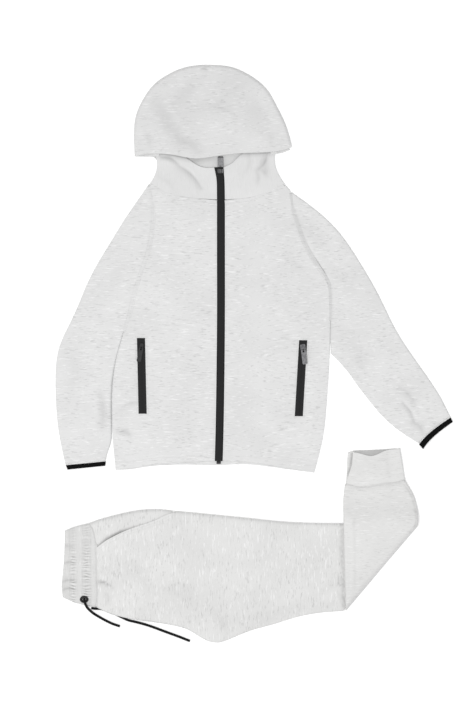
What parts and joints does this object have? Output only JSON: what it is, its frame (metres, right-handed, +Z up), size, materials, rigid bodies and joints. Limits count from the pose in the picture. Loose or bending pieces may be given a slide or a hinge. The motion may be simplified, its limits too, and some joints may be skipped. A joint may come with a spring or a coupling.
{
  "type": "tracksuit",
  "caption": "Child's hooded zip jacket and trousers laid flat, hood over the neck, trousers folded with the lower legs turned up.",
  "frame": {"origin": "centre of the bounding box of the whole set at the level of the surface that it lies on", "axes": "+X to the viewer's right, +Y from the trousers to the jacket's hood, +Z up from the surface"},
  "size_m": [0.7156, 1.0423, 0.0216],
  "materials": {
    "fabric": "matte",
    "trouser_fabric": "matte",
    "tape": "matte",
    "binding": "matte",
    "black_metal": "satin",
    "grey_metal": "satin",
    "cord": "matte"
  },
  "bodies": {
    "suit": {"jacket_back": "fabric", "front_right": "fabric", "front_left": "fabric", "sleeve_right": "fabric", "sleeve_left": "fabric", "hood_back": "fabric", "hood_neck_right": "fabric", "hood_neck_left": "fabric", "hood_crown": "fabric", "waistband_hidden_layers": "trouser_fabric", "waistband": "trouser_fabric", "leg_hidden_layers": "trouser_fabric", "leg_front": "trouser_fabric", "pocket_facing": "trouser_fabric", "lower_leg_back": "trouser_fabric", "lower_leg_hidden_layers": "trouser_fabric", "ankle_cuff_under": "trouser_fabric", "ankle_cuff_top": "trouser_fabric", "main_zip_tape": "tape", "pocket_right_tape": "tape", "pocket_left_tape": "tape", "cuff_binding_right": "binding", "cuff_binding_left": "binding", "main_zip_box": "black_metal", "main_zip_slider": "black_metal", "pocket_right_zip_slider": "black_metal", "pocket_left_zip_slider": "black_metal", "drawcord_eyelet": "black_metal", "drawcord_1": "cord", "drawcord_2": "cord"},
    "main_zip_pull": {"main_zip_pull": "grey_metal"},
    "pocket_right_zip_pull": {"pocket_right_zip_pull": "black_metal"},
    "pocket_left_zip_pull": {"pocket_left_zip_pull": "grey_metal"}
  },
  "joints": [
    {"name": "main_zip_tab_hinge", "type": "hinge", "parent": "suit", "child": "main_zip_pull", "pos_m": [-0.06, 0.33535, 0.0092], "axis": [1, 0, 0], "range_deg": [0, 195]},
    {"name": "pocket_right_zip_tab_hinge", "type": "hinge", "parent": "suit", "child": "pocket_right_zip_pull", "pos_m": [-0.20263, 0.01095, 0.0114], "axis": [-0.9848, 0.1736, 0], "range_deg": [0, 180]},
    {"name": "pocket_left_zip_tab_hinge", "type": "hinge", "parent": "suit", "child": "pocket_left_zip_pull", "pos_m": [0.08916, 0.00743, 0.0114], "axis": [-0.9925, -0.1219, 0], "range_deg": [0, 180]}
  ]
}
